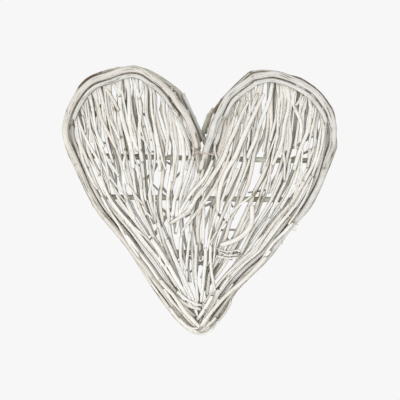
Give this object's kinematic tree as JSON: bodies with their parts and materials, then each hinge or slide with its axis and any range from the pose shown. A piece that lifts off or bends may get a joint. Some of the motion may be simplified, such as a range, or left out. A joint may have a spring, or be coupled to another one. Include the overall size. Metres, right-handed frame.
{
  "type": "willow heart decoration",
  "caption": "Flat woven heart of whitewashed willow rods: bundled rim of two lobes, cross struts behind, fanned twigs across, tied with thin wire; lies on its back.",
  "frame": {"origin": "on the floor under the middle of the box of the heart lying on its back", "axes": "+Z out of the front face, -Y towards the tip, +X towards the lobe that has the smooth crown, right as seen from the front"},
  "size_m": [0.4491, 0.4384, 0.0352],
  "materials": {
    "whitewashed_willow": "matt whitewash with bare bark showing",
    "shaded_willow": "thin matt whitewash",
    "bare_willow": "bare bark, matt",
    "tie_wire": "dull, partly painted over"
  },
  "bodies": {
    "root": {"cross_strut_upper": "bare_willow", "cross_strut_lower": "bare_willow", "cross_strut_bottom": "bare_willow", "back_brace_left": "bare_willow", "back_brace_tip": "bare_willow", "back_rod_left": "shaded_willow", "back_rod_inner_left": "shaded_willow", "main_rod_left": "whitewashed_willow", "inner_rod_left": "whitewashed_willow", "second_rod_left": "whitewashed_willow", "back_twig_left_01": "shaded_willow", "back_twig_left_02": "shaded_willow", "back_twig_left_03": "shaded_willow", "back_twig_left_04": "shaded_willow", "back_twig_left_05": "shaded_willow", "back_twig_left_06": "shaded_willow", "back_twig_left_07": "shaded_willow", "back_twig_left_08": "shaded_willow", "front_twig_left_01": "whitewashed_willow", "front_twig_left_02": "whitewashed_willow", "front_twig_left_03": "whitewashed_willow", "front_twig_left_04": "whitewashed_willow", "front_twig_left_05": "whitewashed_willow", "front_twig_left_06": "whitewashed_willow", "front_twig_left_07": "whitewashed_willow", "front_twig_left_08": "whitewashed_willow", "front_twig_left_09": "whitewashed_willow", "front_twig_left_10": "whitewashed_willow", "back_rod_right": "shaded_willow", "back_rod_inner_right": "shaded_willow", "main_rod_right": "whitewashed_willow", "inner_rod_right": "whitewashed_willow", "second_rod_right": "whitewashed_willow", "back_twig_right_01": "shaded_willow", "back_twig_right_02": "shaded_willow", "back_twig_right_03": "shaded_willow", "back_twig_right_04": "shaded_willow", "back_twig_right_05": "shaded_willow", "back_twig_right_06": "shaded_willow", "back_twig_right_07": "shaded_willow", "back_twig_right_08": "shaded_willow", "front_twig_right_01": "whitewashed_willow", "front_twig_right_02": "whitewashed_willow", "front_twig_right_03": "whitewashed_willow", "front_twig_right_04": "whitewashed_willow", "front_twig_right_05": "whitewashed_willow", "front_twig_right_06": "whitewashed_willow", "front_twig_right_07": "whitewashed_willow", "front_twig_right_08": "whitewashed_willow", "front_twig_right_09": "whitewashed_willow", "front_twig_right_10": "whitewashed_willow", "crossing_rod_left": "whitewashed_willow", "crossing_rod_middle": "whitewashed_willow", "crossing_rod_right": "whitewashed_willow", "upright_rod": "whitewashed_willow", "tip_rod_left": "whitewashed_willow", "tip_rod_right": "whitewashed_willow", "tie_wire_cleft": "tie_wire", "tie_wire_flank": "tie_wire"}
  },
  "joints": []
}
